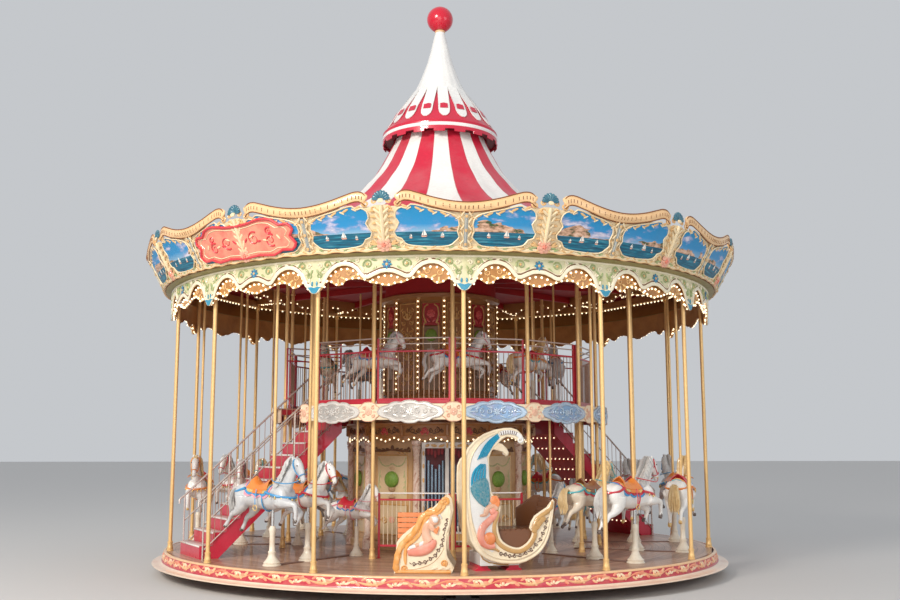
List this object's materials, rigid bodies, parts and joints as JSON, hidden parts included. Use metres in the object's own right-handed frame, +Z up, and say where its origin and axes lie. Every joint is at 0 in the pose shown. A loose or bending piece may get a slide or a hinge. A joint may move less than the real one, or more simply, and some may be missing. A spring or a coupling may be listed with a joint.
{
  "type": "double-deck fairground carousel",
  "caption": "Double-deck fairground carousel with striped tent roof, painted crown boards, stairs, horses, moon chariots and sleighs.",
  "frame": {"origin": "on the ground, on the turning axis of the carousel", "axes": "+Z up along the turning axis, -Y towards the front with the organ"},
  "size_m": [11.64, 11.63, 11.546],
  "materials": {
    "dark_steel": "matt",
    "steel": "satin",
    "deck_wood": "worn varnish",
    "rim_paint": "gloss",
    "core_paint": "painted",
    "organ_paint": "painted",
    "fascia_paint": "gloss",
    "crown_paint": "painted relief",
    "valance_paint": "painted relief",
    "ceiling_paint": "matt",
    "tent_sheet": "red and white gores",
    "cap_sheet": "satin",
    "ball_paint": "gloss",
    "pole_brass": "polished",
    "fence_paint": "gloss",
    "stair_paint": "gloss",
    "horse_paint": "gloss",
    "chariot_paint": "gloss"
  },
  "bodies": {
    "base": {"base_frame": "dark_steel", "centre_spindle": "steel"},
    "carousel": {"lower_deck": "deck_wood", "platform_rim": "rim_paint", "lower_core": "core_paint", "organ_front": "organ_paint", "upper_deck": "fascia_paint", "upper_core": "core_paint", "crown_boards": "crown_paint", "valance": "valance_paint", "ceiling": "ceiling_paint", "tent_roof": "tent_sheet", "roof_cap": "cap_sheet", "ball_finial": "ball_paint", "upper_horses": "horse_paint", "stair_1": "stair_paint", "stair_1_rail_left": "steel", "stair_1_rail_right": "steel", "stair_2": "stair_paint", "stair_2_rail_left": "steel", "stair_2_rail_right": "steel", "bay_frame_1": "pole_brass", "bay_frame_2": "pole_brass", "bay_frame_3": "pole_brass", "bay_frame_4": "pole_brass", "bay_frame_5": "pole_brass", "bay_frame_6": "pole_brass", "bay_frame_7": "pole_brass", "upper_fence_1": "fence_paint", "upper_fence_2": "fence_paint", "lower_fence_1": "fence_paint", "lower_fence_2": "fence_paint", "moon_chariot_1": "chariot_paint", "moon_chariot_2": "chariot_paint", "sleigh_1": "chariot_paint", "sleigh_2": "chariot_paint", "rank_base_01": "horse_paint", "rank_base_02": "horse_paint", "rank_base_03": "horse_paint", "rank_base_05": "horse_paint", "rank_base_08": "horse_paint", "rank_base_09": "horse_paint", "rank_base_10": "horse_paint", "rank_base_12": "horse_paint"},
    "outer_01": {"outer_horse_01": "horse_paint"},
    "outer_02": {"outer_horse_02": "horse_paint"},
    "outer_03": {"outer_horse_03": "horse_paint"},
    "outer_05": {"outer_horse_05": "horse_paint"},
    "outer_08": {"outer_horse_08": "horse_paint"},
    "outer_09": {"outer_horse_09": "horse_paint"},
    "outer_10": {"outer_horse_10": "horse_paint"},
    "outer_12": {"outer_horse_12": "horse_paint"},
    "middle_01": {"middle_horse_01": "horse_paint"},
    "middle_02": {"middle_horse_02": "horse_paint"},
    "middle_03": {"middle_horse_03": "horse_paint"},
    "middle_05": {"middle_horse_05": "horse_paint"},
    "middle_08": {"middle_horse_08": "horse_paint"},
    "middle_09": {"middle_horse_09": "horse_paint"},
    "middle_10": {"middle_horse_10": "horse_paint"},
    "middle_12": {"middle_horse_12": "horse_paint"}
  },
  "joints": [
    {"name": "carousel_turn", "type": "hinge", "parent": "base", "child": "carousel", "pos_m": [0, 0, 0.17], "axis": [0, 0, 1], "continuous": true},
    {"name": "outer_01_rise", "type": "slide", "parent": "carousel", "child": "outer_01", "axis": [0, 0, 1], "range_m": [-0.1, 0.1]},
    {"name": "outer_02_rise", "type": "slide", "parent": "carousel", "child": "outer_02", "axis": [0, 0, 1], "range_m": [-0.1, 0.1]},
    {"name": "outer_03_rise", "type": "slide", "parent": "carousel", "child": "outer_03", "axis": [0, 0, 1], "range_m": [-0.1, 0.1]},
    {"name": "outer_05_rise", "type": "slide", "parent": "carousel", "child": "outer_05", "axis": [0, 0, 1], "range_m": [-0.1, 0.1]},
    {"name": "outer_08_rise", "type": "slide", "parent": "carousel", "child": "outer_08", "axis": [0, 0, 1], "range_m": [-0.1, 0.1]},
    {"name": "outer_09_rise", "type": "slide", "parent": "carousel", "child": "outer_09", "axis": [0, 0, 1], "range_m": [-0.1, 0.1]},
    {"name": "outer_10_rise", "type": "slide", "parent": "carousel", "child": "outer_10", "axis": [0, 0, 1], "range_m": [-0.1, 0.1]},
    {"name": "outer_12_rise", "type": "slide", "parent": "carousel", "child": "outer_12", "axis": [0, 0, 1], "range_m": [-0.1, 0.1]},
    {"name": "middle_01_rise", "type": "slide", "parent": "carousel", "child": "middle_01", "axis": [0, 0, 1], "range_m": [-0.1, 0.1]},
    {"name": "middle_02_rise", "type": "slide", "parent": "carousel", "child": "middle_02", "axis": [0, 0, 1], "range_m": [-0.1, 0.1]},
    {"name": "middle_03_rise", "type": "slide", "parent": "carousel", "child": "middle_03", "axis": [0, 0, 1], "range_m": [-0.1, 0.1]},
    {"name": "middle_05_rise", "type": "slide", "parent": "carousel", "child": "middle_05", "axis": [0, 0, 1], "range_m": [-0.1, 0.1]},
    {"name": "middle_08_rise", "type": "slide", "parent": "carousel", "child": "middle_08", "axis": [0, 0, 1], "range_m": [-0.1, 0.1]},
    {"name": "middle_09_rise", "type": "slide", "parent": "carousel", "child": "middle_09", "axis": [0, 0, 1], "range_m": [-0.1, 0.1]},
    {"name": "middle_10_rise", "type": "slide", "parent": "carousel", "child": "middle_10", "axis": [0, 0, 1], "range_m": [-0.1, 0.1]},
    {"name": "middle_12_rise", "type": "slide", "parent": "carousel", "child": "middle_12", "axis": [0, 0, 1], "range_m": [-0.1, 0.1]}
  ]
}
